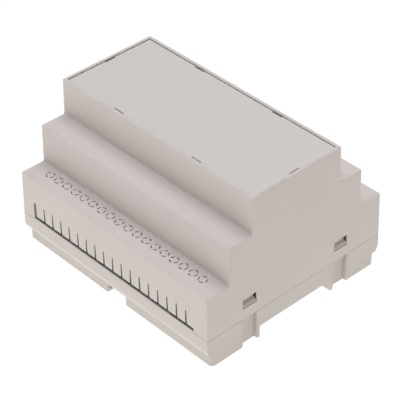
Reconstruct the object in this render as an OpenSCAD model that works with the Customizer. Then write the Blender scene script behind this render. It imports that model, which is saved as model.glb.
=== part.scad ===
// DIN rail enclosure, six modules wide: a base that clips on a 35 mm rail, a stepped
// snap-fitted cover with terminal knock-outs on both long sides, a front panel and a sprung
// rail latch. X runs along the rail, Y across it and Z away from it. The origin is the
// middle of the underside of the feet.

/* [Case] */
// Length along the rail, six modules of 17.5 mm
body_l = 105; // [88:0.5:158]
// Width across the rail at the parting line
body_w = 90; // [88:0.5:96]
// Height from the feet to the rim round the front panel
body_h = 65.4; // [62:0.2:72]
// Thickness of the moulded walls
wall = 1.5; // [1.2:0.05:1.8]
// Draft of the long walls, in degrees
side_draft = 0.9; // [0.2:0.1:1.2]
// Draft of the end walls, in degrees
end_draft = 0.8; // [0.2:0.1:1.0]
// Height of the parting line between base and cover
parting_h = 13.4; // [12.6:0.2:15]

/* [Steps] */
// Width of the front tier where it stands on the middle tread
front_tier_w = 45; // [43:0.5:50]
// Width of the middle tier where it stands on the lower tread
middle_tier_w = 67.7; // [62:0.1:70]
// Height of the middle tread
middle_h = 49.5; // [46:0.5:54]
// Height of the lower tread
lower_h = 32.75; // [30:0.25:38]

/* [Terminal sides] */
// Pitch of the terminals, and so of the knock-outs and the break-away tabs
terminal_pitch = 5.04; // [4.8:0.02:7.62]
// Length of the row of break-away tabs
comb_l = 90.2; // [70:0.2:94]
// Mean diameter of a knock-out ring
knockout_d = 3.3; // [2.8:0.1:3.8]
// Width of the arc slots that make up a ring
knockout_slot = 0.45; // [0.3:0.05:0.6]
// Width of the four bridges that hold the disc in a ring
knockout_bridge = 0.85; // [0.5:0.05:1.2]
// Distance from the outer face of the long wall to the ring centres
knockout_inset = 7.1; // [5:0.1:8]
// Gap under the tabs, above the parting line
tab_gap = 2; // [0.8:0.1:2.5]
// Thickness of the tabs, which the wall is thinned to from inside
tab_t = 0.8; // [0.6:0.05:1.1]
// Thickness of the base's wall under that gap
sill_t = 1.2; // [0.6:0.05:1.2]
// Bevel of that wall's outer edge
sill_bevel = 0.4; // [0.2:0.05:0.5]
// Depth to which that wall is thinned, from the parting line
sill_h = 3; // [1:0.1:4]
// Length of the slits between the tabs
slit_h = 6.2; // [4:0.1:9]
// Width of a slit at its top
slit_w = 0.6; // [0.3:0.05:0.8]
// Extra width of a slit at its foot
slit_flare = 0.3; // [0:0.05:0.5]
// Distance from a ring centre back to the slit beside it
slit_offset = 1.6; // [0.8:0.1:2.4]
// Width of the first slit, at the end of the row
end_slit_w = 1.4; // [0.6:0.1:1.6]
// Reach of the first slit past the row of tabs
end_slit_reach = 0.8; // [0.4:0.1:1]

/* [Snaps] */
// Distance of the snap windows from the middle of the end wall
snap_y = 23.7; // [23:0.1:27]
// Width of a snap window
window_w = 6.9; // [5:0.1:8]
// Height of a snap window
window_h = 4.3; // [3.5:0.1:5.5]
// Height of the bar of the cover under a snap window
window_bar = 4.8; // [3:0.1:6]
// Thickness of the wall round a snap window and under it
window_lip = 0.6; // [0.5:0.05:0.9]
// Width of that thinned border
window_border = 0.8; // [0.5:0.1:1]
// Width of the recess in the base under a snap window
recess_w = 7.2; // [7:0.1:8.5]
// Clearance between snap-fitted pieces
snap_clear = 0.15; // [0.13:0.01:0.25]
// Thickness of the snap tongues
tongue_t = 1.4; // [1:0.1:1.8]
// Height of the wedge hook on a tongue
hook_h = 1.8; // [1.4:0.1:2.6]
// Height of the hook's upright face
hook_face = 0.4; // [0.2:0.05:0.6]
// Thickness of the lips that locate the cover's end walls
lip_t = 1; // [0.8:0.1:1.4]
// Height of these lips above the parting line
lip_h = 1.6; // [1:0.1:3]
// Depth to which these lips run down the base's walls
lip_root = 3; // [2:0.1:4]

/* [Feet and rail] */
// Width of the channel for the 35 mm rail
channel_w = 37.2; // [36.6:0.1:38]
// Depth of the rail channel, from the feet
channel_h = 5.1; // [4.8:0.1:6]
// Thickness of the rail's flanges
rail_t = 1; // [1:0.05:1.2]
// Distance from the widest part of the base to the outer faces of the feet
foot_inset = 1.9; // [1:0.1:2.6]
// Slope of the outer faces of the feet, in degrees
foot_draft = 2; // [0:0.5:4]
// Radius of the feet's outer corners
foot_r = 2.2; // [0.8:0.1:3]
// Radius of the lower edge of the band under the parting line
band_r = 7; // [6:0.1:9]
// Height of the plain part of that band
band_h = 3.8; // [3:0.1:4.5]

/* [Rail latch] */
// Width of the gap in the front foot
gap_w = 10.5; // [8:0.1:14]
// Height of the gap in the front foot
gap_h = 4.2; // [4.1:0.05:4.6]
// Reach of the latch's nose and of the fixed claws into the rail channel
claw_reach = 2.6; // [2:0.1:3.2]
// Width of a fixed claw
claw_w = 12; // [8:1:16]
// Distance of the fixed claws from the middle
claw_x = 30; // [22:1:40]
// Thickness of a fixed claw at its root
claw_root = 2.2; // [1.6:0.1:2.6]
// Thickness of a fixed claw at its tip
claw_tip = 0.8; // [0.6:0.1:1.2]
// Width of the guide grooves beside the latch
groove_w = 1.2; // [0.8:0.1:1.6]
// Clearance round the latch
latch_clear = 0.15; // [0.1:0.05:0.2]
// Travel of the latch, which draws its nose back out of the rail channel
latch_travel = 2.7; // [2.6:0.1:2.9]
// Length of the ramp on the nose, which rides over the rail's edge
ramp_l = 1.8; // [1:0.1:2.2]
// Thickness of the nose at its tip
nose_tip = 0.9; // [0.6:0.1:1.4]
// Width of a spring arm of the latch
arm_w = 1.4; // [0.8:0.1:1.8]
// Width of the slot that frees a spring arm
arm_slot = 1.2; // [0.6:0.1:1.6]
// Solid length of the latch before the slots
tail_l = 4; // [3:0.5:6]
// Solid length of the latch behind the slots
root_l = 2.5; // [2:0.5:4]
// Thickness of the turned-down lip for the screwdriver
grip_t = 1.4; // [1:0.1:2]
// Height of that lip above the feet
grip_z = 0.4; // [0.2:0.1:0.8]

/* [Front panel] */
// Width of the rim of the cover round the panel
rim_w = 1.4; // [1.2:0.1:1.8]
// Depth of the panel's face below the rim
panel_sink = 0.45; // [0.1:0.05:0.8]
// Thickness of the panel
panel_t = 2; // [1.5:0.1:2.5]
// Gap round the panel
panel_gap = 0.2; // [0.1:0.01:0.3]
// Width of the ledge that the panel lies on
ledge_w = 2; // [1.6:0.1:3]
// Length of a prise notch
notch_l = 4.9; // [3:0.1:6]
// Depth of a prise notch into the panel's edge
notch_d = 0.45; // [0.3:0.05:1]
// Distance of the notches on the long edges from the middle
notch_x = 21; // [15:0.5:26]
// Width of a leg that holds the panel
leg_w = 6; // [4:0.5:8]
// Thickness of a leg
leg_t = 1.2; // [0.8:0.1:1.4]
// Distance between the legs along the case
leg_pitch = 36; // [25:1:38]
// Reach of a leg's hook under the ledge
leg_hook = 0.5; // [0.3:0.05:0.8]
// Height of a leg's hook
leg_hook_h = 1.8; // [1.4:0.1:2.4]

/* [Circuit board fixing] */
// Distance between the board's screws along the case
board_x = 86; // [60:1:88]
// Distance between the board's screws across the case
board_y = 60; // [56:0.5:66]
// Outer diameter of the screw bosses
boss_d = 6; // [5:0.1:7]
// Diameter of the bores for 3 mm screws
boss_bore = 2.6; // [2:0.1:3]
// Height of the bosses above the feet
boss_h = 11; // [9:0.5:12]

/* [Hidden] */
$fn = 48;
shell_colour = [0.82, 0.79, 0.76];
cut = 1; // how far a cutting solid runs past a face
front_y = body_w / 2 - foot_inset; // outer face of a foot at its top
panel_floor = body_h - panel_sink - panel_t; // the ledge that carries the panel
ceiling = panel_floor - wall; // underside of that ledge
end_in = (body_h - parting_h) * tan(end_draft); // how far the ends lean in at the rim
side_in = (body_h - middle_h) * tan(side_draft);
seat_l = body_l - 2 * (end_in + rim_w); // the panel's seat
seat_w = front_tier_w - 2 * (side_in + rim_w);
rail_w = 35; // width of the top-hat rail
rail_clear = 0.25; // on each side of it
knockouts = floor((comb_l - knockout_d) / terminal_pitch) + 1;
// The rings are turned one against the next, so that their bridges don't line up
ring_turns = [70, 15, 45, 60, 15, 40, 0, 5, 30, 10, 55, 65, 40, 30, 70, 85, 80, 20];
tongue_x = body_l / 2 - wall - snap_clear; // outer face of the snap tongues
window_bottom = parting_h + window_bar;
window_top = window_bottom + window_h;
groove_end = channel_w / 2 + wall; // the grooves stop behind the channel's wall
groove_start = front_y - wall; // and behind the foot's front wall
latch_bottom = wall;
latch_top = channel_h - rail_t - latch_clear;

function ring_x(i) = (i - (knockouts - 1) / 2) * terminal_pitch;

// Extrudes an outline of Y and Z along X, about the middle
module along_x(length) {
    rotate([90, 0, 90]) linear_extrude(length, center = true) children();
}

// Extrudes an outline of X and Z along Y, about the middle
module along_y(length) {
    rotate([90, 0, 0]) linear_extrude(length, center = true) children();
}

// A block given by its low and high corners
module block(low, high) {
    translate(low) cube(high - low);
}

module both_sides() {
    children();
    rotate(180) children();
}

module four_corners() {
    both_sides() {
        children();
        mirror([1, 0, 0]) children();
    }
}

/* ---- cover ---- */

// Right half of the stepped outline in Y and Z, with its drafted risers, drawn in by inset
function step_points(inset, bottom, top) =
    let (lean = tan(side_draft))
    [if (bottom < parting_h) [body_w / 2 - inset, bottom],
     [body_w / 2 - inset, parting_h],
     [body_w / 2 - (lower_h - parting_h) * lean - inset, lower_h - inset],
     [middle_tier_w / 2 - inset, lower_h - inset],
     [middle_tier_w / 2 - (middle_h - lower_h) * lean - inset, middle_h - inset],
     [front_tier_w / 2 - inset, middle_h - inset],
     [front_tier_w / 2 - (top - middle_h) * lean - inset, top]];

// Both halves of an outline that is given by its right half
function whole_outline(half) =
    [each half, for (i = [len(half) - 1 : -1 : 0]) [-half[i].x, half[i].y]];

// The stepped body between two heights, drawn in by inset
module stepped_body(inset, bottom, top) {
    lean = (top - parting_h) * tan(end_draft);
    intersection() {
        along_x(body_l) polygon(whole_outline(step_points(inset, bottom, top)));
        along_y(body_w) polygon(whole_outline([
            if (bottom < parting_h) [body_l / 2 - inset, bottom],
            [body_l / 2 - inset, parting_h],
            [body_l / 2 - inset - lean, top]]));
    }
}

// Four arc slots round a disc that breaks out for the screwdriver
module knockout_ring(turn) {
    rotate(turn) linear_extrude(2 * wall + 2 * cut, center = true) difference() {
        circle(d = knockout_d + knockout_slot);
        circle(d = knockout_d - knockout_slot);
        for (a = [45, 135]) rotate(a) square([knockout_d + 2, knockout_bridge], center = true);
    }
}

module knockout_row() {
    for (i = [0 : knockouts - 1])
        translate([ring_x(i), knockout_inset - body_w / 2, lower_h])
            knockout_ring(ring_turns[i % len(ring_turns)]);
}

// Gap under the tabs and the slits that part them, cut through the long wall
module comb_cut() {
    foot = parting_h + tab_gap;
    translate([0, -body_w / 2, 0]) along_y(2 * (wall + cut)) {
        translate([-comb_l / 2 - end_slit_reach, parting_h - cut])
            square([comb_l + end_slit_reach, tab_gap + cut]);
        // one side of a slit is upright and the other slopes
        for (i = [1 : knockouts - 1])
            translate([ring_x(i) - slit_offset - (slit_w + slit_flare) / 2, 0]) polygon([
                [0, foot - 0.01],
                [slit_w + slit_flare, foot - 0.01],
                [slit_w, foot + slit_h],
                [0, foot + slit_h]]);
        // the first slit is wider and stands at the end of the gap
        translate([-comb_l / 2 - end_slit_reach, 0]) polygon([
            [0, foot - 0.01],
            [end_slit_w + slit_flare, foot - 0.01],
            [end_slit_w, foot + slit_h],
            [slit_flare, foot + slit_h]]);
    }
}

// The long wall is thinned from inside along the tabs
module tab_relief() {
    intersection() {
        stepped_body(tab_t, parting_h - cut, lower_h);
        block([-comb_l / 2 - end_slit_reach, -body_w / 2, parting_h - cut],
              [comb_l / 2, -body_w / 2 + 2 * wall, parting_h + tab_gap + slit_h]);
    }
}

module snap_window() {
    block([body_l / 2 - 2 * wall - cut, snap_y - window_w / 2, window_bottom],
          [body_l / 2 + cut, snap_y + window_w / 2, window_top]);
}

// The end wall is thinned from inside round the window, down to the parting line
module window_relief() {
    half = window_w / 2 + window_border;
    intersection() {
        stepped_body(window_lip, parting_h - cut, window_top + window_border);
        block([body_l / 2 - 2 * wall, snap_y - half, parting_h - cut],
              [body_l / 2, snap_y + half, window_top + window_border]);
    }
}

// Seat for the front panel and the opening behind it
module panel_opening() {
    translate([0, 0, panel_floor + cut / 2 + (body_h - panel_floor) / 2])
        cube([seat_l, seat_w, body_h - panel_floor + cut], center = true);
    translate([0, 0, body_h])
        cube([seat_l - 2 * ledge_w, seat_w - 2 * ledge_w, 4 * (wall + panel_t)], center = true);
}

module cover() {
    color(shell_colour) difference() {
        stepped_body(0, parting_h, body_h);
        stepped_body(wall, parting_h - cut, ceiling);
        panel_opening();
        both_sides() {
            knockout_row();
            comb_cut();
            tab_relief();
        }
        four_corners() {
            snap_window();
            window_relief();
        }
    }
}

/* ---- base ---- */

// Band under the parting line, whose lower edges curve in to the feet
module band_outline() {
    curve_h = parting_h - band_h;
    intersection() {
        translate([-body_w / 2, channel_h]) square([body_w, parting_h - channel_h]);
        union() {
            translate([-body_w / 2, curve_h]) square([body_w, band_h]);
            translate([-body_w / 2 + band_r, 0]) square([body_w - 2 * band_r, parting_h]);
            for (side = [-1, 1]) translate([side * (body_w / 2 - band_r), curve_h]) circle(band_r);
        }
    }
}

// One foot: sloping outer face, rounded outer corners, square to the rail channel
module foot() {
    intersection() {
        linear_extrude(channel_h + 0.01) {
            block_l = body_l - 2 * foot_r;
            translate([-body_l / 2, -front_y + foot_r])
                square([body_l, front_y - foot_r - channel_w / 2]);
            translate([-block_l / 2, -front_y]) square([block_l, front_y - channel_w / 2]);
            for (side = [-1, 1]) translate([side * block_l / 2, -front_y + foot_r]) circle(foot_r);
        }
        along_x(body_l + cut) polygon([
            [-channel_w / 2, 0],
            [-channel_w / 2, channel_h + 0.01],
            [-front_y, channel_h + 0.01],
            [-front_y + channel_h * tan(foot_draft), 0]]);
    }
}

// Space inside the base: deep over the feet, raised over the rail channel
module base_cavity() {
    inner_foot = front_y - channel_h * tan(foot_draft) - wall;
    shoulder = channel_h + 2 * wall;
    rise = channel_w / 2 + wall;
    along_x(body_l - 2 * wall) difference() {
        union() {
            translate([-body_w / 2 + wall, shoulder]) square([body_w - 2 * wall, parting_h]);
            translate([-inner_foot, wall]) square([2 * inner_foot, parting_h]);
        }
        translate([-rise, 0]) square([2 * rise, channel_h + wall]);
    }
}

// The end wall steps in round each recess and rises as a tongue with a wedge hook
module snap_tongue() {
    back = tongue_x - tongue_t;
    width = window_w - 2 * snap_clear;
    tip = window_top - snap_clear;
    hook_foot = window_bottom + 2 * snap_clear;
    block([back, snap_y - recess_w / 2 - wall, 0],
          [body_l / 2 - wall + 0.01, snap_y + recess_w / 2 + wall, parting_h]);
    block([back, snap_y - width / 2, parting_h - cut], [tongue_x, snap_y + width / 2, tip]);
    translate([0, snap_y, 0]) along_y(width) polygon([
        [tongue_x - 0.01, hook_foot],
        [body_l / 2 - snap_clear, hook_foot],
        [body_l / 2 - snap_clear, hook_foot + hook_face],
        [tongue_x - 0.01, hook_foot + hook_h]]);
}

module snap_recess() {
    block([tongue_x, snap_y - recess_w / 2, -cut],
          [body_l / 2 + cut, snap_y + recess_w / 2, parting_h + 0.01]);
}

// Lip inside the end wall that locates the cover
module locating_lip() {
    outer = body_l / 2 - wall - snap_clear;
    width = 2 * (snap_y - recess_w / 2 - 2 * wall);
    along_y(width) polygon([
        [outer - lip_t, parting_h - lip_root],
        [outer + 2 * snap_clear, parting_h - lip_root],
        [outer + 2 * snap_clear, parting_h],
        [outer, parting_h],
        [outer, parting_h + lip_h],
        [outer - lip_t, parting_h + lip_h]]);
}

// Fixed claw behind the rail's back edge
module rail_claw() {
    side = channel_w / 2;
    top = channel_h - rail_t - 2 * latch_clear;
    slope = claw_root - claw_tip;
    along_x(claw_w) polygon([
        [side + 0.01, channel_h + 0.01],
        [rail_w / 2 + rail_clear, channel_h + 0.01],
        [rail_w / 2 + rail_clear, top],
        [side - claw_reach, top],
        [side - claw_reach, top - claw_tip],
        [side - claw_reach + slope, top - claw_root],
        [side + 0.01, top - claw_root]]);
}

module board_boss() {
    translate([board_x / 2, board_y / 2, wall / 2]) cylinder(d = boss_d, h = boss_h - wall / 2);
}

module boss_hole() {
    translate([board_x / 2, board_y / 2, wall + 0.5]) cylinder(d = boss_bore, h = boss_h);
}

// Under the tabs the long wall is thinned from inside, and its outer edge is bevelled
module sill_relief() {
    low = -comb_l / 2 - end_slit_reach;
    length = comb_l + end_slit_reach;
    block([low, -body_w / 2 + sill_t, parting_h - sill_h],
          [low + length, -body_w / 2 + wall + 0.01, parting_h + cut]);
    translate([low + length / 2, 0, 0]) along_x(length) polygon([
        [-body_w / 2 - cut, parting_h - sill_bevel - cut],
        [-body_w / 2 + sill_bevel + cut, parting_h + cut],
        [-body_w / 2 - cut, parting_h + cut]]);
}

// Walls and roof round the latch
module latch_housing() {
    half = gap_w / 2 + groove_w + wall;
    block([-half, -groove_start, 0.01], [half, -channel_w / 2, gap_h + wall]);
}

// Gap through the foot, open below, with a guide groove on each side
module latch_pocket() {
    block([-gap_w / 2, -body_w / 2 - cut, -cut], [gap_w / 2, -channel_w / 2 + cut, gap_h]);
    block([-gap_w / 2 - groove_w, -groove_start, latch_bottom - latch_clear],
          [gap_w / 2 + groove_w, -groove_end, gap_h]);
}

module base() {
    color(shell_colour) difference() {
        union() {
            difference() {
                union() {
                    along_x(body_l) band_outline();
                    both_sides() foot();
                }
                base_cavity();
            }
            four_corners() {
                snap_tongue();
                board_boss();
            }
            both_sides() locating_lip();
            latch_housing();
            for (x = [-claw_x, claw_x]) translate([x, 0, 0]) rail_claw();
        }
        four_corners() {
            snap_recess();
            boss_hole();
        }
        both_sides() sill_relief();
        latch_pocket();
    }
}

/* ---- front panel ---- */

// Leg that passes the ledge and catches under it
module panel_leg() {
    edge = seat_w / 2 - ledge_w - snap_clear;
    hook = edge + snap_clear + leg_hook;
    along_x(leg_w) polygon([
        [edge - leg_t, panel_floor + 0.01],
        [edge, panel_floor + 0.01],
        [edge, ceiling - snap_clear],
        [hook, ceiling - snap_clear],
        [hook, ceiling - 2 * snap_clear],
        [edge, ceiling - leg_hook_h],
        [edge - leg_t, ceiling - leg_hook_h]]);
}

module front_panel() {
    half_l = seat_l / 2 - panel_gap;
    half_w = seat_w / 2 - panel_gap;
    color(shell_colour) {
        difference() {
            block([-half_l, -half_w, panel_floor], [half_l, half_w, panel_floor + panel_t]);
            both_sides() {
                for (x = [-notch_x, notch_x])
                    translate([x, half_w, panel_floor + panel_t])
                        cube([notch_l, 2 * notch_d, 2 * panel_t + cut], center = true);
                translate([half_l, 0, panel_floor + panel_t])
                    cube([2 * notch_d, notch_l, 2 * panel_t + cut], center = true);
            }
        }
        both_sides() for (i = [-1 : 1]) translate([i * leg_pitch, 0, 0]) panel_leg();
    }
}

/* ---- rail latch ---- */

module rail_latch() {
    half = gap_w / 2 + groove_w - latch_clear;
    nose = gap_w / 2 - latch_clear;
    tail = -groove_start + latch_clear + latch_travel;
    shoulder = -groove_end - latch_clear;
    tip = -channel_w / 2 + claw_reach;
    color(shell_colour) {
        difference() {
            block([-half, tail, latch_bottom], [half, shoulder, latch_top]);
            // slots that free the two spring arms
            for (side = [-1, 1]) translate([side * (half - arm_w - arm_slot / 2), 0, 0])
                block([-arm_slot / 2, tail + tail_l, 0],
                      [arm_slot / 2, shoulder - root_l, latch_top + cut]);
        }
        // nose with a ramp that rides over the rail's edge
        along_x(2 * nose) polygon([
            [shoulder - 0.01, latch_bottom],
            [tip - ramp_l, latch_bottom],
            [tip, latch_top - nose_tip],
            [tip, latch_top],
            [shoulder - 0.01, latch_top]]);
        // turned-down lip for the screwdriver
        block([-nose, tail, grip_z], [nose, tail + grip_t, latch_bottom + 0.01]);
    }
}

base();
cover();
front_panel();
rail_latch();
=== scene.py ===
"""Looks of a six-module DIN rail enclosure: four mouldings in one light, warm grey plastic."""
import math

import bmesh
import bpy
from mathutils import Matrix, Vector


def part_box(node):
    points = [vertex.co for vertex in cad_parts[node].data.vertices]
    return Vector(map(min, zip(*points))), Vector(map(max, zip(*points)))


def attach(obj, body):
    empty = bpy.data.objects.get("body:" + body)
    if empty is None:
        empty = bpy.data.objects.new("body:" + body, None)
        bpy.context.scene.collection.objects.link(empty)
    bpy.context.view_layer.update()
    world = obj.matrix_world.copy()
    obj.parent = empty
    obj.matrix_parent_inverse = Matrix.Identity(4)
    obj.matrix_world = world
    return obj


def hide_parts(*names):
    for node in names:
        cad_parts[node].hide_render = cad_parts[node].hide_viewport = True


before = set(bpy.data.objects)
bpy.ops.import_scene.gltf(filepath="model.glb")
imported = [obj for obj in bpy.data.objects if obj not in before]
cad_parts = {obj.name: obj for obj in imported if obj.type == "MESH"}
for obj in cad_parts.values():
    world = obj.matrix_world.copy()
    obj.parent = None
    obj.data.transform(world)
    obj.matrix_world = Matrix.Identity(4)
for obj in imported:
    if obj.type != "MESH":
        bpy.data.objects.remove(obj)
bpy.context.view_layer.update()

MM = 0.001
bpy.context.scene.view_settings.view_transform = "Standard"


# ---- camera ----

def place_camera():
    """A long lens above the front right corner of the case."""
    data = bpy.data.cameras.new("camera")
    data.lens = 154.79
    data.sensor_width = 36
    data.clip_start = 0.05
    data.clip_end = 20
    camera = bpy.data.objects.new("camera", data)
    bpy.context.scene.collection.objects.link(camera)
    right = Vector((0.68029, 0.73285, -0.01157))
    up = Vector((-0.44100, 0.42188, 0.79217))
    back = Vector((0.58543, -0.53381, 0.61019))
    turn = Matrix((right, up, back)).transposed().to_4x4()
    camera.matrix_world = Matrix.Translation((0.386425, -0.351994, 0.426878)) @ turn
    bpy.context.scene.camera = camera


place_camera()


# ---- shader maths ----

class Wire:
    """A shader output, on which sums and products add Math nodes."""

    def __init__(self, board, socket):
        self.board = board
        self.socket = socket

    def _sum(self, kind, first, second):
        return self.board.node("Math", {"operation": kind}, {0: first, 1: second})

    def __add__(self, other):
        return self._sum("ADD", self, other)

    __radd__ = __add__

    def __sub__(self, other):
        return self._sum("SUBTRACT", self, other)

    def __rsub__(self, other):
        return self._sum("SUBTRACT", other, self)

    def __mul__(self, other):
        return self._sum("MULTIPLY", self, other)

    __rmul__ = __mul__

    def __truediv__(self, other):
        return self._sum("DIVIDE", self, other)


class Board:
    """A material's or the world's node tree, emptied."""

    def __init__(self, owner):
        owner.use_nodes = True
        self.tree = owner.node_tree
        self.tree.nodes.clear()

    def node(self, kind, settings=None, inputs=None, output=0):
        """Adds a shader node: its settings first, then the values or wires of its sockets."""
        made = self.tree.nodes.new("ShaderNode" + kind)
        for key, value in (settings or {}).items():
            if key == "stops":
                ramp = made.color_ramp
                while len(ramp.elements) < len(value):
                    ramp.elements.new(0.5)
                for element, (place, grey) in zip(ramp.elements, value):
                    element.position = place
                    element.color = (grey, grey, grey, 1)
            else:
                setattr(made, key, value)
        for key, value in (inputs or {}).items():
            if isinstance(value, Wire):
                self.tree.links.new(value.socket, made.inputs[key])
            else:
                made.inputs[key].default_value = value
        if not made.outputs:
            return made
        return Wire(self, made.outputs[output])


# ---- finish ----

RIM_RUBS = ((51.5, -12.5, 65.2, 2.2), (51.5, -7.0, 65.3, 1.5), (51.5, -17.5, 65.3, 1.2))


def moulded_plastic(name, colour, grain=0.012, roughness=0.5, rubs=()):
    """Satin styrene with the fine spark-eroded grain of its mould, rubbed grey in places."""
    material = bpy.data.materials.new(name)
    board = Board(material)
    place = board.node("TexCoord", output=3)
    clouds = board.node("TexNoise", {"noise_dimensions": "3D"},
                        {"Vector": place, "Scale": 38.0, "Detail": 3.0, "Roughness": 0.55})
    specks = board.node("TexNoise", {"noise_dimensions": "3D"},
                        {"Vector": place, "Scale": 900.0, "Detail": 2.0, "Roughness": 0.6})
    pits = board.node("TexNoise", {"noise_dimensions": "3D"},
                      {"Vector": place, "Scale": 3600.0, "Detail": 2.0, "Roughness": 0.7})
    tone = 0.965 + 0.05 * clouds + 0.02 * specks
    for x, y, z, reach in rubs:
        away = board.node("VectorMath", {"operation": "DISTANCE"},
                          {0: place, 1: (x * MM, y * MM, z * MM)}, output=1)
        near = board.node("Math", {"operation": "SUBTRACT", "use_clamp": True},
                          {0: 1.0, 1: away / (reach * MM)})
        tone = tone - 0.22 * near * clouds
    shade = board.node("CombineXYZ", inputs={0: tone, 1: tone, 2: tone})
    tint = board.node("VectorMath", {"operation": "MULTIPLY"}, {0: shade, 1: colour})
    gloss = roughness - 0.03 + 0.06 * clouds
    relief = board.node("Bump", inputs={"Strength": grain * 10, "Distance": 0.00006,
                                        "Height": pits + 0.6 * specks})
    plastic = board.node("BsdfPrincipled", inputs={
        "Base Color": tint, "Roughness": gloss, "Normal": relief, "IOR": 1.5,
        "Specular IOR Level": 0.4})
    board.node("OutputMaterial", inputs={"Surface": plastic})
    return material


COVER_PLASTIC = moulded_plastic("cover_plastic", (0.662, 0.624, 0.575), rubs=RIM_RUBS)
PANEL_PLASTIC = moulded_plastic("panel_plastic", (0.665, 0.657, 0.594))
BASE_PLASTIC = moulded_plastic("base_plastic", (0.651, 0.616, 0.563))
LATCH_PLASTIC = moulded_plastic("latch_plastic", (0.651, 0.616, 0.563))


# ---- rounded mouldings ----

def shade_walls_flat(mesh):
    """Flat shading for plane walls; curved faces and the small rounds stay smooth."""
    shape = bmesh.new()
    shape.from_mesh(mesh)
    for face in shape.faces:
        bends = [edge.calc_face_angle(0) for edge in face.edges if len(edge.link_faces) == 2]
        curved = any(math.radians(0.5) < bend < math.radians(15) for bend in bends)
        face.smooth = curved or face.calc_area() < 1 * MM * MM
    shape.to_mesh(mesh)
    shape.free()


def rounded_copy(node, body, name, material, radius_of, segments=2, settle=None):
    """A merged copy of a CAD moulding whose sharp edges get the small radii of the mould."""
    shape = bmesh.new()
    shape.from_mesh(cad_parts[node].data)
    bmesh.ops.remove_doubles(shape, verts=shape.verts, dist=0.002 * MM)
    bmesh.ops.dissolve_limit(shape, angle_limit=math.radians(0.2), verts=shape.verts,
                             edges=shape.edges)
    if settle:
        for vertex in shape.verts:
            vertex.co = Vector(settle(Vector(vertex.co) / MM)) * MM
    weight = shape.edges.layers.float.new("bevel_weight_edge")
    widest = 0.45
    for edge in shape.edges:
        if len(edge.link_faces) != 2 or edge.calc_face_angle(0) < math.radians(22):
            continue
        radius = radius_of(edge, [Vector(v.co) / MM for v in edge.verts])
        edge[weight] = min(radius, widest) / widest
    mesh = bpy.data.meshes.new(name)
    shape.to_mesh(mesh)
    shape.free()
    piece = bpy.data.objects.new(name, mesh)
    bpy.context.scene.collection.objects.link(piece)
    bevel = piece.modifiers.new("edge radii", "BEVEL")
    bevel.limit_method = "WEIGHT"
    bevel.width = widest * MM
    bevel.segments = segments
    bevel.use_clamp_overlap = False
    bevel.miter_outer = "MITER_ARC"
    for polygon in mesh.polygons:
        polygon.use_smooth = True
    mesh.set_sharp_from_angle(angle=math.radians(22))
    bpy.context.view_layer.update()
    graph = bpy.context.evaluated_depsgraph_get()
    finished = bpy.data.meshes.new_from_object(piece.evaluated_get(graph),
                                               preserve_all_data_layers=True, depsgraph=graph)
    piece.modifiers.clear()
    piece.data = finished
    shade_walls_flat(finished)
    finished.materials.clear()
    finished.materials.append(material)
    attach(piece, body)
    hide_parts(node)
    return piece


COVER_LOW, COVER_HIGH = (Vector(c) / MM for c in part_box("cover"))
BASE_LOW = Vector(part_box("base")[0]) / MM
PARTING = COVER_LOW.z
RIM = COVER_HIGH.z
HALF_W = 45.0              # half the width across the rail, at the parting line
TREADS = ((PARTING, HALF_W), (32.75, 33.85), (49.5, 22.5))  # foot and half width of a tier
PANEL_HIGH = Vector(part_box("front_panel")[1]) / MM
CHANNEL = 5.1              # depth of the rail channel
BAND_FOOT = 9.6            # height at which the band's curve starts
BAND_TUCK = 0.9            # how far that curve is squeezed down
SILL_BEVEL = 0.4           # bevel of the sill in the solids
SILL_EDGE = 0.12           # and here
TAB = 0.8                  # thickness of the tabs in the solids
TAB_SEEN = 0.4             # and here
NOTCH = 0.45               # depth of the prise notches in the solids
NOTCH_SEEN = 0.62          # and here
NOTCH_X = 21               # distance of the notches on the long edges from the middle
TONGUE_PLAY = 0.1          # how far the snap tongues lean to one side
END_LEAN = math.tan(math.radians(0.8))
SIDE_LEAN = math.tan(math.radians(0.9))


def on_end_wall(p):
    return abs(abs(p.x) - (COVER_HIGH.x - (p.z - PARTING) * END_LEAN)) < 0.03


def outside_cover(p):
    """True on the cover's outer faces, from its steps' sizes."""
    if on_end_wall(p) or abs(p.z - RIM) < 0.02:
        return True
    for index, (foot, half) in enumerate(TREADS):
        top = TREADS[index + 1][0] if index < 2 else RIM
        if foot - 0.02 <= p.z <= top + 0.02 and \
                abs(abs(p.y) - (half - (p.z - foot) * SIDE_LEAN)) < 0.03:
            return True
    return False


def cover_radius(edge, ends):
    if not all(outside_cover(p) for p in ends):
        return 0
    length = (ends[0] - ends[1]).length
    if length < 1.2:
        return 0
    low = max(p.z for p in ends) < PARTING + 0.1
    if low:
        return 0.35
    if min(p.z for p in ends) > RIM - 0.05 and all(
            not on_end_wall(p) and abs(p.y) < 21.9 for p in ends):
        return 0.06
    middle = (ends[0] + ends[1]) / 2
    if abs(middle.y) > 44 and length < 10 and PARTING < middle.z < 25:
        return 0.08
    return 0.35


def base_radius(edge, ends):
    length = (ends[0] - ends[1]).length
    if length < 1.2:
        return 0
    middle = (ends[0] + ends[1]) / 2
    if min(p.z for p in ends) > PARTING - 0.1:
        return 0.2
    if abs(middle.y) > 44.9 or abs(middle.x) > 52.4:
        return 0.25
    return 0.2


def panel_radius(edge, ends):
    length = (ends[0] - ends[1]).length
    if min(p.z for p in ends) > RIM - 0.6 and length > 3:
        return 0.15
    return 0


def latch_radius(edge, ends):
    return 0.1 if (ends[0] - ends[1]).length > 2 else 0


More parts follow.
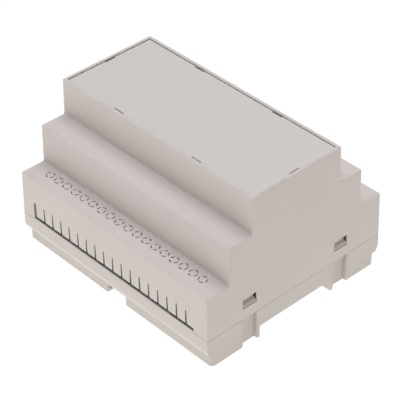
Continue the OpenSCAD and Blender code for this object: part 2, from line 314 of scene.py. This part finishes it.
def settled_base(p):
    """A small edge on the sill, a lower curve on the band, and tongues that lean to one side."""
    side = math.copysign(1, p.y)
    if abs(p.y) > 43.2 and BASE_LOW.z + CHANNEL < p.z < BAND_FOOT + 0.05:
        return p.x, p.y, BASE_LOW.z + CHANNEL + (p.z - BASE_LOW.z - CHANNEL) * BAND_TUCK
    if p.z > PARTING + 3 and abs(p.x) > 48 and 18 < abs(p.y) < 30:
        return p.x, p.y - TONGUE_PLAY, p.z
    if abs(p.x) < 47 and abs(abs(p.y) - (HALF_W - SILL_BEVEL)) < 0.02 and abs(p.z - PARTING) < 0.02:
        return p.x, side * (HALF_W - SILL_EDGE), p.z
    if abs(p.x) < 47 and abs(abs(p.y) - HALF_W) < 0.02 and abs(p.z - PARTING + SILL_BEVEL) < 0.02:
        return p.x, p.y, PARTING - SILL_EDGE
    return p


def settled_cover(p):
    """The tabs are thinner here than in the solids, so that the slits look dark."""
    face = HALF_W - (p.z - PARTING) * SIDE_LEAN
    if p.z < 21.7 and abs(p.x) < 46 and abs(abs(p.y) - face + TAB) < 0.03:
        return p.x, math.copysign(face - TAB_SEEN, p.y), p.z
    return p


def settled_panel(p):
    """The prise notches are deeper here than in the solids, to show past the rim."""
    x, y = p.x, p.y
    if p.z > PANEL_HIGH.z - 2.5:
        if abs(abs(y) - (PANEL_HIGH.y - NOTCH)) < 0.02 and abs(abs(x) - NOTCH_X) < 3:
            y = math.copysign(PANEL_HIGH.y - NOTCH_SEEN, y)
        if abs(abs(x) - (PANEL_HIGH.x - NOTCH)) < 0.02 and abs(y) < 3:
            x = math.copysign(PANEL_HIGH.x - NOTCH_SEEN, x)
    return x, y, p.z


rounded_copy("cover", "case", "stepped_cover", COVER_PLASTIC, cover_radius,
             settle=settled_cover)
rounded_copy("base", "case", "rail_base", BASE_PLASTIC, base_radius,
             settle=settled_base)
rounded_copy("front_panel", "case", "front_plate", PANEL_PLASTIC, panel_radius,
             settle=settled_panel)
rounded_copy("rail_latch", "latch", "sprung_latch", LATCH_PLASTIC, latch_radius)


# ---- sill under the tabs ----

def finish_mesh(shape, name, material, body):
    """Turns a bmesh into a piece of the housing, in millimetres."""
    bmesh.ops.scale(shape, vec=(MM, MM, MM), verts=shape.verts)
    bmesh.ops.recalc_face_normals(shape, faces=shape.faces)
    mesh = bpy.data.meshes.new(name)
    shape.to_mesh(mesh)
    shape.free()
    mesh.materials.append(material)
    piece = bpy.data.objects.new(name, mesh)
    bpy.context.scene.collection.objects.link(piece)
    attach(piece, body)
    return piece


def sill_lips():
    """A low lip on each sill, rounded outside, which narrows the gap under the tabs."""
    low, high, rise, round_r = -45.85, 45.05, 0.5, 0.22
    face, back, foot = 44.99, 43.85, 12.7
    outline = [(face, foot)]
    for step in range(5):
        turn = math.radians(90 * step / 4)
        outline.append((face - round_r + round_r * math.cos(turn),
                        PARTING + rise - round_r + round_r * math.sin(turn)))
    outline += [(back, PARTING + rise), (back, foot)]
    shape = bmesh.new()
    for side in (1, -1):
        rings = [[shape.verts.new((-side * x, side * y, z)) for y, z in outline]
                 for x in (low, high)]
        count = len(outline)
        for i in range(count):
            j = (i + 1) % count
            shape.faces.new((rings[0][i], rings[0][j], rings[1][j], rings[1][i]))
        shape.faces.new(rings[0][::-1])
        shape.faces.new(rings[1])
    return finish_mesh(shape, "sill_lips", BASE_PLASTIC, "case")


sill_lips()


# ---- grip on the latch ----

def rib_tree():
    """Geometry Nodes that set a row of upright grip ribs along X."""
    tree = bpy.data.node_groups.new("grip_ribs", "GeometryNodeTree")
    face = tree.interface
    ins = {}
    for label, kind, value in (("Count", "NodeSocketInt", 9), ("Pitch", "NodeSocketFloat", 0.001),
                               ("Size", "NodeSocketVector", (0.0005, 0.0004, 0.002)),
                               ("Middle", "NodeSocketVector", (0, 0, 0)),
                               ("Finish", "NodeSocketMaterial", None)):
        socket = face.new_socket(label, in_out="INPUT", socket_type=kind)
        if value is not None:
            socket.default_value = value
        ins[label] = socket.identifier
    face.new_socket("Geometry", in_out="OUTPUT", socket_type="NodeSocketGeometry")

    def add(kind, links=None, **settings):
        made = tree.nodes.new(kind)
        for key, value in settings.items():
            setattr(made, key, value)
        for key, source in (links or {}).items():
            if hasattr(source, "is_output"):
                tree.links.new(source, made.inputs[key])
            else:
                made.inputs[key].default_value = source
        return made

    given = add("NodeGroupInput").outputs
    steps = add("ShaderNodeMath", {0: given["Count"], 1: 1.0}, operation="SUBTRACT").outputs[0]
    half = add("ShaderNodeMath", {0: steps, 1: -0.5}, operation="MULTIPLY").outputs[0]
    first_x = add("ShaderNodeMath", {0: half, 1: given["Pitch"]}, operation="MULTIPLY").outputs[0]
    first = add("ShaderNodeCombineXYZ", {0: first_x}).outputs[0]
    start = add("ShaderNodeVectorMath", {0: first, 1: given["Middle"]}, operation="ADD").outputs[0]
    stride = add("ShaderNodeCombineXYZ", {0: given["Pitch"]}).outputs[0]
    row = add("GeometryNodeMeshLine", {"Count": given["Count"], "Start Location": start,
                                       "Offset": stride}, mode="OFFSET").outputs[0]
    bar = add("GeometryNodeMeshCylinder", {"Vertices": 10, "Radius": 0.5, "Depth": 1.0}).outputs[0]
    rib = add("GeometryNodeTransform", {0: bar, "Scale": given["Size"]}).outputs[0]
    ribs = add("GeometryNodeInstanceOnPoints", {"Points": row, "Instance": rib}).outputs[0]
    real = add("GeometryNodeRealizeInstances", {0: ribs}).outputs[0]
    done = add("GeometryNodeSetMaterial", {0: real, "Material": given["Finish"]}).outputs[0]
    out = add("NodeGroupOutput")
    tree.links.new(done, out.inputs[0])
    return tree, ins


def latch_ribs():
    """Fine upright ribs on the front of the turned-down lip."""
    tree, ins = rib_tree()
    piece = bpy.data.objects.new("latch_ribs", bpy.data.meshes.new("latch_ribs"))
    bpy.context.scene.collection.objects.link(piece)
    ribs = piece.modifiers.new("ribs", "NODES")
    ribs.node_group = tree
    lip_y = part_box("rail_latch")[0][1]
    for label, value in (("Count", 9), ("Pitch", 1.0 * MM),
                         ("Size", (0.45 * MM, 0.28 * MM, 2.6 * MM)),
                         ("Middle", (0, lip_y, 2.1 * MM)), ("Finish", LATCH_PLASTIC)):
        ribs[ins[label]] = value
    bpy.context.view_layer.update()
    graph = bpy.context.evaluated_depsgraph_get()
    mesh = bpy.data.meshes.new_from_object(piece.evaluated_get(graph), depsgraph=graph)
    piece.modifiers.clear()
    piece.data = mesh
    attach(piece, "latch")


latch_ribs()


# ---- stage and light ----

def background_ray(board):
    """1 for the rays that show the white background, and 0 for those that light the case."""
    path = board.node("LightPath")
    glossy = board.node("LightPath", output=3)
    through = board.node("LightPath", output=6)
    mirrored = board.node("Math", {"operation": "MAXIMUM"}, {0: glossy, 1: through})
    return board.node("Math", {"operation": "MAXIMUM"}, {0: path, 1: mirrored})


def light_table(strength, colour):
    """White floor that glows, is seen as plain white, and is clear from underneath."""
    bpy.ops.mesh.primitive_plane_add(size=6, location=(0, 0, -0.05 * MM))
    floor = bpy.context.object
    floor.name = "floor"
    material = bpy.data.materials.new("white_table")
    board = Board(material)
    paper = board.node("BsdfDiffuse", inputs={"Color": (0.85, 0.85, 0.85, 1)})
    glow = board.node("Emission", inputs={"Color": (*colour, 1), "Strength": strength})
    table = board.node("AddShader", inputs={0: paper, 1: glow})
    white = board.node("Emission", inputs={"Color": (1, 1, 1, 1), "Strength": 1.0})
    both = board.node("MixShader", inputs={0: background_ray(board) * 0.9, 1: table, 2: white})
    clear = board.node("BsdfTransparent")
    underneath = board.node("NewGeometry", output=6)
    sheet = board.node("MixShader", inputs={0: underneath, 1: both, 2: clear})
    board.node("OutputMaterial", inputs={"Surface": sheet})
    floor.data.materials.append(material)


def soft_sky(strength, colour):
    world = bpy.context.scene.world or bpy.data.worlds.new("studio")
    bpy.context.scene.world = world
    board = Board(world)
    sky = board.node("Background", inputs={"Color": (*colour, 1), "Strength": strength})
    white = board.node("Background", inputs={"Color": (1, 1, 1, 1), "Strength": 1.0})
    both = board.node("MixShader", inputs={0: background_ray(board), 1: sky, 2: white})
    board.node("OutputWorld", inputs={"Surface": both})


def softbox(name, azimuth, height, size, power, colour, distance=1.2):
    """A square lamp. Azimuth 0 shines from the front, and grows towards the right end."""
    data = bpy.data.lights.new(name, "AREA")
    data.shape = "SQUARE"
    data.size = size
    data.energy = power
    data.color = colour
    lamp = bpy.data.objects.new(name, data)
    bpy.context.scene.collection.objects.link(lamp)
    turn, rise = math.radians(azimuth), math.radians(height)
    away = Vector((math.sin(turn) * math.cos(rise), -math.cos(turn) * math.cos(rise),
                   math.sin(rise)))
    lamp.location = away * distance + Vector((0, 0, 0.03))
    lamp.rotation_euler = away.to_track_quat("Z", "Y").to_euler()


light_table(0.735, (1.0, 0.982, 0.922))
soft_sky(0.0, (1, 1, 1))
softbox("top_box", 0, 90, 0.9, 11.69, (0.962, 0.946, 1.0))
softbox("back_box", 180, 50, 0.9, 1.73, (1.0, 0.951, 0.951))
softbox("back_right_box", 135, 50, 0.9, 0.84, (1.0, 0.7, 0.93))
softbox("front_box", 0, 12, 0.9, 2.76, (0.996, 0.935, 1.0))
softbox("front_left_box", 315, 12, 0.9, 0.9, (0.947, 0.867, 1.0))
